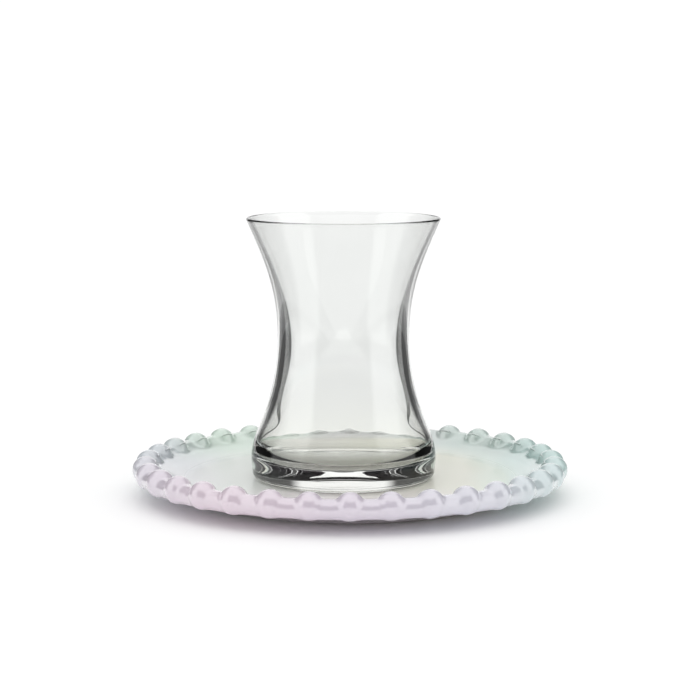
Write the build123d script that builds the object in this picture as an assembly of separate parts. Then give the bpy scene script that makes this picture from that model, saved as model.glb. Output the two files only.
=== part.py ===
from build123d import *
import os
from math import cos, sin, radians, pi

# Turkish tea glass on its beaded saucer.
# Frame: origin at the centre of the saucer's foot, on the table; +Z up;
# the front of the set faces -Y.  All sizes in millimetres.

# ---------------------------------------------------------------- saucer
saucer_r = 70.0          # outermost reach of the beads
bead_count = 34          # pearls around the edge
bead_r = 4.35            # radius of each pearl
bead_z = 8.8             # height of the pearl centres
ring_r = saucer_r - bead_r   # radius of the circle of pearl centres
web_r = 3.1              # radius of the solid rim that joins the pearls
web_z = 7.9              # its centre height
well_z = 5.3             # flat floor of the well
well_r = 48.0            # radius where the well starts to rise
foot_r = 48.5            # outer edge of the foot ring
foot_w = 3.5             # width of the foot ring
foot_recess = 1.4        # hollow under the middle, inside the foot ring
under_mid_r = 57.0       # a station on the flaring underside
under_mid_z = 2.9

# ----------------------------------------------------------------- glass
glass_x = -2.1           # the glass stands a little left of the centre
glass_h = 84.0           # height of the glass itself
rim_r = 31.0             # outer radius at the lip
lip_t = 1.2              # thickness of the rounded lip
shoulder_h, shoulder_r, shoulder_t = 69.7, 25.30, 1.75
throat_h, throat_r, throat_t = 58.0, 22.10, 2.25
waist_h, waist_r, waist_t = 46.0, 21.12, 2.5
thigh_h, thigh_r, thigh_t = 31.0, 22.65, 2.5
flank_h, flank_r, flank_t = 19.5, 26.15, 2.45
belly_h, belly_r, belly_t = 8.0, 29.70, 2.5
base_r = 28.9            # radius of the bottom corner before rounding
base_round = 2.3         # rounding of the bottom corner
floor_t = 6.2            # thickness of the heavy bottom
floor_round = 5.0        # rounding between floor and wall, inside




def glass_solid():
    outer = [(base_r, 0), (belly_r, belly_h), (flank_r, flank_h),
             (thigh_r, thigh_h), (waist_r, waist_h), (throat_r, throat_h),
             (shoulder_r, shoulder_h), (rim_r, glass_h - lip_t / 2)]
    inner = [(rim_r - lip_t, glass_h - lip_t / 2),
             (shoulder_r - shoulder_t, shoulder_h),
             (throat_r - throat_t, throat_h), (waist_r - waist_t, waist_h),
             (thigh_r - thigh_t, thigh_h), (flank_r - flank_t, flank_h),
             (belly_r - belly_t, belly_h + 2.5), (belly_r - belly_t, floor_t)]
    with BuildPart() as p:
        with BuildSketch(Plane.XZ):
            with BuildLine():
                Line((0, 0), outer[0])
                Spline(*outer)
                ThreePointArc(outer[-1], (rim_r - lip_t / 2, glass_h), inner[0])
                Spline(*inner)
                Line(inner[-1], (0, floor_t))
                Line((0, floor_t), (0, 0))
            make_face()
        revolve(axis=Axis.Z)
        low = p.edges().filter_by(GeomType.CIRCLE).sort_by(Axis.Z)
        bottom = [e for e in low if abs(e.center().Z) < 1e-6 and e.radius > base_r - 0.01]
        fillet(bottom, base_round)
        floor = [e for e in p.edges().filter_by(GeomType.CIRCLE)
                 if abs(e.center().Z - floor_t) < 1e-6 and e.radius > 10]
        fillet(floor, floor_round)
    return p.part


def saucer_body():
    """Dish of revolution: foot ring, flaring underside, round rim, well."""
    recess_r = foot_r - foot_w
    # the rim's rounded part is an arc of a circle in the XZ plane
    under = (ring_r - web_r * cos(radians(75)), web_z - web_r * sin(radians(75)))
    outside = (ring_r + web_r, web_z)
    inside = (ring_r - web_r * cos(radians(45)), web_z + web_r * sin(radians(45)))
    with BuildPart() as p:
        with BuildSketch(Plane.XZ):
            with BuildLine():
                Line((0, foot_recess), (recess_r - 1.4, foot_recess))
                Line((recess_r - 1.4, foot_recess), (recess_r, 0))
                Line((recess_r, 0), (foot_r, 0))
                ThreePointArc((foot_r, 0), (under_mid_r, under_mid_z), under)
                ThreePointArc(under, outside, inside)
                TangentArc((well_r, well_z), inside, tangent=(1, 0))
                Line((well_r, well_z), (0, well_z))
                Line((0, well_z), (0, foot_recess))
            make_face()
        revolve(axis=Axis.Z)
    return p.part


def saucer_solid():
    shape = saucer_body()
    beads = []
    for i in range(bead_count):
        a = -90 + 360 * i / bead_count      # the first pearl is at the front
        beads.append(Pos(ring_r * cos(radians(a)), ring_r * sin(radians(a)), bead_z)
                     * Rot(0, 0, a) * Sphere(bead_r))
    return shape.fuse(*beads)


os.makedirs("parts", exist_ok=True)
glass = Pos(glass_x, 0, well_z) * glass_solid()
saucer = saucer_solid()
for name, shape in (("tea_glass", glass), ("saucer", saucer)):
    bb = shape.bounding_box()
    print(name, "solids", len(shape.solids()), "valid", shape.is_valid,
          "volume mm3 %.0f" % shape.volume,
          "box", [round(v, 2) for v in (*bb.min, *bb.max)])
    export_step(shape, "parts/%s.step" % name)
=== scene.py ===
import math
import bpy
import numpy as np
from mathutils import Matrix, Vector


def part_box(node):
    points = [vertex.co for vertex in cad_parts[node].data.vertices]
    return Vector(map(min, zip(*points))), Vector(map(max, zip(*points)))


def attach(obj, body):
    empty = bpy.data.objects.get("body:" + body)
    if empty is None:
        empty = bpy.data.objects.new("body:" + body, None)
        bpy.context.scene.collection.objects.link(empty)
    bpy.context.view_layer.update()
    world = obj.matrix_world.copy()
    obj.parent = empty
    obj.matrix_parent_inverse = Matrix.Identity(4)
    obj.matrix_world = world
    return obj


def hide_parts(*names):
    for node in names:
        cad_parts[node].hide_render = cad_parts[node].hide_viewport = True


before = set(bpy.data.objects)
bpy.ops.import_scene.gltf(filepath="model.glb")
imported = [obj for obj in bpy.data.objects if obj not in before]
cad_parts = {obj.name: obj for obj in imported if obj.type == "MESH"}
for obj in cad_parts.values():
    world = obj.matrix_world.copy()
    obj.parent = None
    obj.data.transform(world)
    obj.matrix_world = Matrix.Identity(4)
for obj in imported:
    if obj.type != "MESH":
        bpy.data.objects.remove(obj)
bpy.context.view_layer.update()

MM = 0.001

# sizes, in millimetres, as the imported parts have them
lo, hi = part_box("tea_glass")
GX = (lo[0] + hi[0]) / 2 / MM
WELL_Z = lo[2] / MM
GLASS_H = (hi[2] - lo[2]) / MM
RIM_R, LIP_T = 31.0, 1.2
SAUCER_R = 70.0


# ------------------------------------------------------------ mesh helpers
def cubic(points, n):
    """Natural cubic spline through points, by chord length, n samples."""
    p = np.array(points, float)
    t = np.r_[0, np.cumsum(np.hypot(*np.diff(p, axis=0).T))]
    h = np.diff(t)
    m = len(p)
    A = np.zeros((m, m)); B = np.zeros((m, 2))
    A[0, 0] = A[-1, -1] = 1
    for i in range(1, m - 1):
        A[i, i - 1], A[i, i], A[i, i + 1] = h[i - 1], 2 * (h[i - 1] + h[i]), h[i]
        B[i] = 6 * ((p[i + 1] - p[i]) / h[i] - (p[i] - p[i - 1]) / h[i - 1])
    M = np.linalg.solve(A, B)
    s = np.linspace(0, t[-1], n)
    k = np.clip(np.searchsorted(t, s, side="right") - 1, 0, m - 2)
    a = (t[k + 1] - s)[:, None]; b = (s - t[k])[:, None]; hk = h[k][:, None]
    return ((M[k] * a**3 + M[k + 1] * b**3) / (6 * hk)
            + (p[k] / hk - M[k] * hk / 6) * a + (p[k + 1] / hk - M[k + 1] * hk / 6) * b)


def arc(cx, cz, r, a0, a1, n):
    a = np.radians(np.linspace(a0, a1, n))
    return np.c_[cx + r * np.cos(a), cz + r * np.sin(a)]


def lathe(name, verts, closed_poles=True):
    """verts: (profile, around, 3) grid in mm, first and last rows at the axis."""
    m, n, _ = verts.shape
    body = verts[1:-1].reshape(-1, 3)
    pts = np.vstack([body, verts[0].mean(0), verts[-1].mean(0)]) * MM
    faces = []
    for i in range(m - 3):
        for j in range(n):
            k = (j + 1) % n
            faces.append((i * n + j, i * n + k, (i + 1) * n + k, (i + 1) * n + j))
    a, b = len(body), len(body) + 1
    last = (m - 3) * n
    for j in range(n):
        k = (j + 1) % n
        faces.append((a, k, j))
        faces.append((b, last + j, last + k))
    me = bpy.data.meshes.new(name)
    me.from_pydata(pts.tolist(), [], faces)
    me.validate()
    me.polygons.foreach_set("use_smooth", [True] * len(me.polygons))
    ob = bpy.data.objects.new(name, me)
    bpy.context.scene.collection.objects.link(ob)
    import bmesh
    bm = bmesh.new(); bm.from_mesh(me)
    bmesh.ops.recalc_face_normals(bm, faces=bm.faces)
    bm.to_mesh(me); bm.free()
    return ob


def spin(profile, n, cx=0.0):
    a = np.radians(-90 + 360 * np.arange(n) / n)
    g = np.zeros((len(profile), n, 3))
    g[..., 0] = cx + profile[:, :1] * np.cos(a)
    g[..., 1] = profile[:, :1] * np.sin(a)
    g[..., 2] = profile[:, 1:]
    return g


# ------------------------------------------------------------------- glass
R_CORNER, FLOOR_T, R_FLOOR = 2.3, 6.2, 5.0
outer = cubic([(28.9, 0), (29.70, 8.0), (26.15, 19.5), (22.65, 31.0), (21.12, 46.0),
               (22.10, 58.0), (25.30, 69.7), (RIM_R, GLASS_H - LIP_T / 2)], 90)
inner = cubic([(RIM_R - LIP_T, GLASS_H - LIP_T / 2), (23.55, 69.7), (19.85, 58.0),
               (18.62, 46.0), (20.15, 31.0), (23.70, 19.5), (27.20, 10.5),
               (27.20, FLOOR_T)], 90)
outer = outer[outer[:, 1] > R_CORNER + 0.1]
inner = inner[inner[:, 1] > FLOOR_T + R_FLOOR + 0.1]
x0 = outer[0, 0]
corner = arc(x0 - R_CORNER, R_CORNER, R_CORNER, -90, -3, 9)
lip = arc(RIM_R - LIP_T / 2, GLASS_H - LIP_T / 2, LIP_T / 2, 12, 168, 9)
x1 = inner[-1, 0]
floor_arc = arc(x1 - R_FLOOR, FLOOR_T + R_FLOOR, R_FLOOR, -3, -88, 12)
# the underside is drawn up a little, so the glass stands on a ring
under = np.array([(0.0, 0.75), (8, 0.7), (15, 0.5), (20.5, 0.18), (23.5, 0.03)])
# the floor inside swells up slightly in the middle, as pressed bottoms do
bed = np.array([(19.0, FLOOR_T + 0.05), (14.0, FLOOR_T + 0.2), (8.0, FLOOR_T + 0.4),
                (3.0, FLOOR_T + 0.5), (0.0, FLOOR_T + 0.5)])
profile = np.vstack([under, corner, outer, lip, inner, floor_arc, bed])
profile[:, 1] += WELL_Z + 0.02
profile[:, 1] = np.minimum(profile[:, 1], WELL_Z + GLASS_H)
glass = lathe("clear_tea_glass", spin(profile, 224, GX))

# ------------------------------------------------------------------ saucer
N_BEADS, BEAD_R, BEAD_Z = 34, 4.35, 8.8
RING_R = SAUCER_R - BEAD_R
WEB_R, WEB_Z = 3.1, 7.9
FOOT_R, WELL_R = 48.5, 48.0
under_end = (RING_R - WEB_R * math.cos(math.radians(75)),
             WEB_Z - WEB_R * math.sin(math.radians(75)))
inside = np.array((RING_R - WEB_R * math.cos(math.radians(45)),
                   WEB_Z + WEB_R * math.sin(math.radians(45))))
flare = cubic([(FOOT_R + 0.3, 0.05), (57.0, 2.9), under_end], 18)
web = arc(RING_R, WEB_Z, WEB_R, -103, 133, 40)
# the inside slope: an arc that leaves the well level and meets the rim
dx, dz = inside[0] - WELL_R, inside[1] - WELL_Z
big = (dx * dx + dz * dz) / (2 * dz)
half = math.degrees(math.asin(dx / big))
slope = arc(WELL_R, WELL_Z + big, big, -90 + half, -90, 26)
base = np.vstack([np.array([(0, 1.4), (12, 1.4), (28, 1.4), (40, 1.4), (43.4, 1.4),
                            (44.2, 0.75), (45.0, 0.05), (45.4, 0.0), (48.2, 0.0)]),
                  flare[:-1], web, slope,
                  np.array([(46, WELL_Z), (42, WELL_Z), (34, WELL_Z), (24, WELL_Z),
                            (12, WELL_Z), (0, WELL_Z)])])
AROUND = N_BEADS * 20
grid = spin(base, AROUND)
tan = np.gradient(base, axis=0)
nrm = np.c_[tan[:, 1], -tan[:, 0]]
nrm /= np.maximum(np.hypot(nrm[:, 0], nrm[:, 1]), 1e-9)[:, None]
ang = np.radians(-90 + 360 * np.arange(AROUND) / AROUND)
N3 = np.zeros_like(grid)
N3[..., 0] = nrm[:, :1] * np.cos(ang)
N3[..., 1] = nrm[:, :1] * np.sin(ang)
N3[..., 2] = nrm[:, 1:]
near = np.round((ang + math.pi / 2) / (2 * math.pi / N_BEADS)).astype(int) % N_BEADS
rng = np.random.RandomState(4)
jr = 1 + rng.uniform(-0.02, 0.0, N_BEADS)          # pearls differ very slightly
ba = np.radians(-90 + 360 * near / N_BEADS)
C = np.stack([RING_R * np.cos(ba), RING_R * np.sin(ba), np.full_like(ba, BEAD_Z)], -1)[None]
D = grid - C
b = (D * N3).sum(-1)
r2 = (BEAD_R * jr[near])[None] ** 2
disc = b * b - ((D * D).sum(-1) - r2)
t = -b + np.sqrt(np.maximum(disc, 0)) - 1.2 * np.sqrt(np.maximum(-disc, 0))
SOFT = 0.55
push = 0.5 * (t + np.sqrt(t * t + SOFT * SOFT)) - 0.0
s = np.clip((grid_r := np.hypot(grid[..., 0], grid[..., 1]) - 58.5) / 3.0, 0, 1)
push = np.where(t < -6, 0, push) * s * s * (3 - 2 * s)
grid = grid + N3 * push[..., None]
# stay inside the real reach of the saucer
rr = np.hypot(grid[..., 0], grid[..., 1])
k = np.minimum(1, SAUCER_R / np.maximum(rr, 1e-6))
grid[..., 0] *= k
grid[..., 1] *= k
grid[..., 2] = np.maximum(grid[..., 2], 0)
saucer = lathe("bead_edge_saucer", grid)


# --------------------------------------------------------------- materials
def srgb(r, g, b):
    def f(c):
        c /= 255.0
        return c / 12.92 if c <= 0.04045 else ((c + 0.055) / 1.055) ** 2.4
    return (f(r), f(g), f(b), 1.0)


class Nodes:
    def __init__(self, mat):
        mat.use_nodes = True
        self.t = mat.node_tree
        self.bsdf = self.t.nodes["Principled BSDF"]

    def add(self, kind, **kw):
        n = self.t.nodes.new(kind)
        for k_, v in kw.items():
            setattr(n, k_, v)
        return n

    def math(self, op, a, b_=None, clamp=False):
        n = self.add("ShaderNodeMath", operation=op, use_clamp=clamp)
        for i, v in enumerate((a, b_)):
            if v is None:
                continue
            if isinstance(v, (int, float)):
                n.inputs[i].default_value = v
            else:
                self.t.links.new(v, n.inputs[i])
        return n.outputs[0]

    def ramp(self, fac, stops, interp="EASE"):
        n = self.add("ShaderNodeValToRGB")
        n.color_ramp.interpolation = interp
        el = n.color_ramp.elements
        while len(el) > 1:
            el.remove(el[-1])
        el[0].position = stops[0][0]; el[0].color = stops[0][1]
        for p_, c_ in stops[1:]:
            e = el.new(p_); e.color = c_
        self.t.links.new(fac, n.inputs[0])
        return n.outputs[0]

    def mix(self, fac, a, b_, blend="MIX"):
        n = self.add("ShaderNodeMix", data_type="RGBA", blend_type=blend)
        for sock, v in ((n.inputs[0], fac), (n.inputs[6], a), (n.inputs[7], b_)):
            if isinstance(v, (int, float, tuple)):
                sock.default_value = v
            else:
                self.t.links.new(v, sock)
        return n.outputs[2]

    def link(self, out, name):
        self.t.links.new(out, self.bsdf.inputs[name])


def glass_material():
    mat = bpy.data.materials.new("clear_glass_look")
    n = Nodes(mat)
    tc = n.add("ShaderNodeTexCoord")
    sep = n.add("ShaderNodeSeparateXYZ")
    n.t.links.new(tc.outputs["Object"], sep.inputs[0])
    # the thick bottom carries a faint olive tint, the walls are near colourless
    h = n.math("MULTIPLY", sep.outputs["Z"], 1 / (89.3 * MM))
    tint = n.ramp(h, [(0.0, srgb(251, 252, 248)), (0.16, srgb(250, 251, 248)),
                      (0.4, srgb(246, 247, 246)), (1.0, srgb(247, 248, 247))])
    n.link(tint, "Base Color")
    no = n.add("ShaderNodeTexNoise")
    no.inputs["Scale"].default_value = 28.0
    no.inputs["Detail"].default_value = 1.5
    n.t.links.new(tc.outputs["Object"], no.inputs["Vector"])
    bump = n.add("ShaderNodeBump")
    bump.inputs["Strength"].default_value = 0.04
    bump.inputs["Distance"].default_value = 0.0008
    n.t.links.new(no.outputs["Fac"], bump.inputs["Height"])
    n.link(bump.outputs[0], "Normal")
    n.bsdf.inputs["Roughness"].default_value = 0.0
    n.bsdf.inputs["IOR"].default_value = 1.5
    n.bsdf.inputs["Transmission Weight"].default_value = 1.0
    return mat


def saucer_material():
    mat = bpy.data.materials.new("lustre_glass_look")
    n = Nodes(mat)
    tc = n.add("ShaderNodeTexCoord")
    no = n.add("ShaderNodeTexNoise")
    no.inputs["Scale"].default_value = 22.0
    no.inputs["Detail"].default_value = 2.0
    n.t.links.new(tc.outputs["Object"], no.inputs["Vector"])
    sep = n.add("ShaderNodeSeparateXYZ")
    n.t.links.new(tc.outputs["Object"], sep.inputs[0])
    X, Y, Z = sep.outputs
    r = n.math("SQRT", n.math("ADD", n.math("MULTIPLY", X, X), n.math("MULTIPLY", Y, Y)))
    wob = n.math("MULTIPLY", n.math("SUBTRACT", no.outputs["Fac"], 0.5), 0.10)
    # around the rim: 0 at the back, growing through the left, front and right. The pastel
    # hues set along it are painted sheen: the lustre's colour shift as it shows from the
    # camera, laid on by place over the rim's real pale pearly tone.
    az = n.math("ADD", n.math("DIVIDE", n.math("ARCTAN2", X, n.math("MULTIPLY", Y, -1.0)),
                              2 * math.pi), 0.5)
    az = n.math("ADD", az, wob, clamp=True)
    rim = n.ramp(az, [(0.0, srgb(232, 231, 234)), (0.12, srgb(226, 244, 231)),
                      (0.22, srgb(222, 228, 234)), (0.31, srgb(236, 226, 238)),
                      (0.40, srgb(243, 226, 238)), (0.50, srgb(238, 228, 241)),
                      (0.60, srgb(233, 232, 243)), (0.70, srgb(222, 236, 238)),
                      (0.79, srgb(206, 232, 228)), (0.88, srgb(212, 228, 222)),
                      (1.0, srgb(226, 226, 228))])
    # the well's tints from left to right are painted sheen as well: the lustre's colour
    # shift as seen from the camera, over the well's real pale pearly tone
    xs = n.math("ADD", n.math("MULTIPLY", X, 1 / 0.120), 0.5)
    xs = n.math("ADD", xs, wob, clamp=True)
    well = n.ramp(xs, [(0.0, srgb(226, 224, 230)), (0.2, srgb(224, 228, 224)),
                       (0.38, srgb(230, 228, 224)), (0.6, srgb(231, 230, 220)),
                       (0.8, srgb(228, 228, 216)), (0.9, srgb(220, 230, 220)),
                       (1.0, srgb(212, 232, 226))])
    # the pinker front is painted sheen too: the lustre's hue there as seen from the camera
    front = n.math("MULTIPLY", n.math("SUBTRACT", n.math("MULTIPLY", Y, -1.0), 0.018),
                   1 / 0.040, clamp=True)
    well = n.mix(front, well, srgb(236, 226, 232))
    edge = n.math("MULTIPLY", n.math("SUBTRACT", r, 0.050), 1 / 0.009, clamp=True)
    col = n.mix(edge, well, rim)
    n.link(col, "Base Color")
    # clear pearls, milky well
    tr = n.math("ADD", n.math("MULTIPLY", edge, 0.20), 0.06)
    n.link(tr, "Transmission Weight")
    ro = n.math("ADD", n.math("MULTIPLY", n.math("SUBTRACT", 1.0, edge), 0.30),
                n.math("ADD", 0.07, n.math("MULTIPLY", no.outputs["Fac"], 0.03)))
    n.link(ro, "Roughness")
    bump = n.add("ShaderNodeBump")
    bump.inputs["Strength"].default_value = 0.10
    bump.inputs["Distance"].default_value = 0.0008
    n.t.links.new(no.outputs["Fac"], bump.inputs["Height"])
    n.link(bump.outputs[0], "Normal")
    n.bsdf.inputs["IOR"].default_value = 1.5
    n.link(n.math("ADD", n.math("MULTIPLY", edge, 0.85), 0.12), "Coat Weight")
    n.bsdf.inputs["Coat Roughness"].default_value = 0.07
    n.bsdf.inputs["Coat IOR"].default_value = 2.1
    return mat


glass.data.materials.append(glass_material())
saucer.data.materials.append(saucer_material())
for ob, node, slot in ((glass, "tea_glass", "clear_glass"),
                       (saucer, "saucer", "lustre_glass")):
    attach(ob, "root")
    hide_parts(node)

# ------------------------------------------------------- floor and backdrop
me = bpy.data.meshes.new("floor")
me.from_pydata([(-0.15, -0.35, 0), (0.15, -0.35, 0), (0.41, 1.6, 0), (-0.41, 1.6, 0)],
               [], [(0, 1, 2, 3)])
floor = bpy.data.objects.new("floor", me)
bpy.context.scene.collection.objects.link(floor)
fm = bpy.data.materials.new("pale_floor")
fn = Nodes(fm)
fn.bsdf.inputs["Base Color"].default_value = (0.93, 0.93, 0.93, 1)
fn.bsdf.inputs["Roughness"].default_value = 0.7
fn.bsdf.inputs["Specular IOR Level"].default_value = 0.1
# light cards stand only straight behind the set: beyond them the glass's edges pick up the
# dark of the room, which draws their outline.
# That dark is painted shade on the floor: seen through the glass, the floor outside a wedge
# straight behind the set turns dark grey.
fp = fn.add("ShaderNodeNewGeometry")
fs = fn.add("ShaderNodeSeparateXYZ")
fn.t.links.new(fp.outputs["Position"], fs.inputs[0])
wide = fn.math("ADD", fn.math("MULTIPLY", fs.outputs["Y"], 0.09), 0.085)
side = fn.math("GREATER_THAN", fn.math("ABSOLUTE", fs.outputs["X"]), wide)
lpf = fn.add("ShaderNodeLightPath")
painted_shade_mask = fn.math("MULTIPLY", side, lpf.outputs["Is Transmission Ray"])
# painted shade: the dark grey the floor shows only through the glass
painted_shade_bsdf = fn.add("ShaderNodeBsdfDiffuse")
painted_shade_bsdf.inputs["Color"].default_value = (0.16, 0.16, 0.16, 1)
ms = fn.add("ShaderNodeMixShader")
fo = fn.t.nodes["Material Output"]
fn.t.links.new(painted_shade_mask, ms.inputs[0])
fn.t.links.new(fn.bsdf.outputs[0], ms.inputs[1])
fn.t.links.new(painted_shade_bsdf.outputs[0], ms.inputs[2])
fn.t.links.new(ms.outputs[0], fo.inputs["Surface"])
me.materials.append(fm)

# ---------------------------------------------------------- studio lighting
world = bpy.data.worlds.new("studio")
bpy.context.scene.world = world
world.use_nodes = True
wt = world.node_tree
wt.nodes.clear()
W = Nodes.__new__(Nodes); W.t = wt
out = W.add("ShaderNodeOutputWorld")
bg = W.add("ShaderNodeBackground")
wt.links.new(bg.outputs[0], out.inputs[0])
tc = W.add("ShaderNodeTexCoord")
sp = W.add("ShaderNodeSeparateXYZ")
wt.links.new(tc.outputs["Generated"], sp.inputs[0])
wx, wy, wz = sp.outputs
flat = W.math("SQRT", W.math("ADD", W.math("MULTIPLY", wx, wx), W.math("MULTIPLY", wy, wy)))
c = W.math("DIVIDE", wy, W.math("MAXIMUM", flat, 1e-4))        # 1 behind the object
c01 = W.math("ADD", W.math("MULTIPLY", c, 0.5), 0.5)


def g(v):
    return (v, v, v, 1)


# from behind the camera (0) round to straight behind the object (1)
band = W.ramp(c01, [(0.0, g(0.05)), (0.16, g(0.05)), (0.20, g(1.15)), (0.56, g(1.15)),
                    (0.62, g(0.08)), (0.955, g(0.08)), (0.975, g(1.0)), (1.0, g(1.0))],
              "LINEAR")
up = W.math("MULTIPLY", W.math("SUBTRACT", wz, 0.62), 5.0, clamp=True)
studio = W.mix(up, band, g(1.15))
low_ = W.math("MULTIPLY", W.math("ADD", wz, 0.16), -14.0, clamp=True)
studio = W.mix(low_, studio, g(0.60))
soft = W.ramp(W.math("ADD", W.math("MULTIPLY", wz, 0.5), 0.5),
              [(0.0, g(0.35)), (0.48, g(0.35)), (0.50, g(0.95)), (1.0, g(1.3))], "LINEAR")
lp = W.add("ShaderNodeLightPath")
# light that reaches a matt surface, straight or through the glass, is soft and even
matt = W.math("MAXIMUM", lp.outputs["Is Diffuse Ray"],
              W.math("GREATER_THAN", lp.outputs["Diffuse Depth"], 0.5))
col = W.mix(matt, studio, soft)
col = W.mix(lp.outputs["Is Camera Ray"], col, g(1.06))
wt.links.new(col, bg.inputs["Color"])
bg.inputs["Strength"].default_value = 1.0

# ------------------------------------------------------------------ camera
cam_data = bpy.data.cameras.new("camera")
cam_data.sensor_width = 36.0
cam_data.lens = 2200.0 / 700.0 * 36.0
cam = bpy.data.objects.new("camera", cam_data)
bpy.context.scene.collection.objects.link(cam)
cam.location = (0.0, -0.700, 0.1372)
cam.rotation_euler = (math.radians(90.0 - 7.37), 0.0, 0.0)
bpy.context.scene.camera = cam
bpy.context.scene.view_settings.view_transform = "Standard"
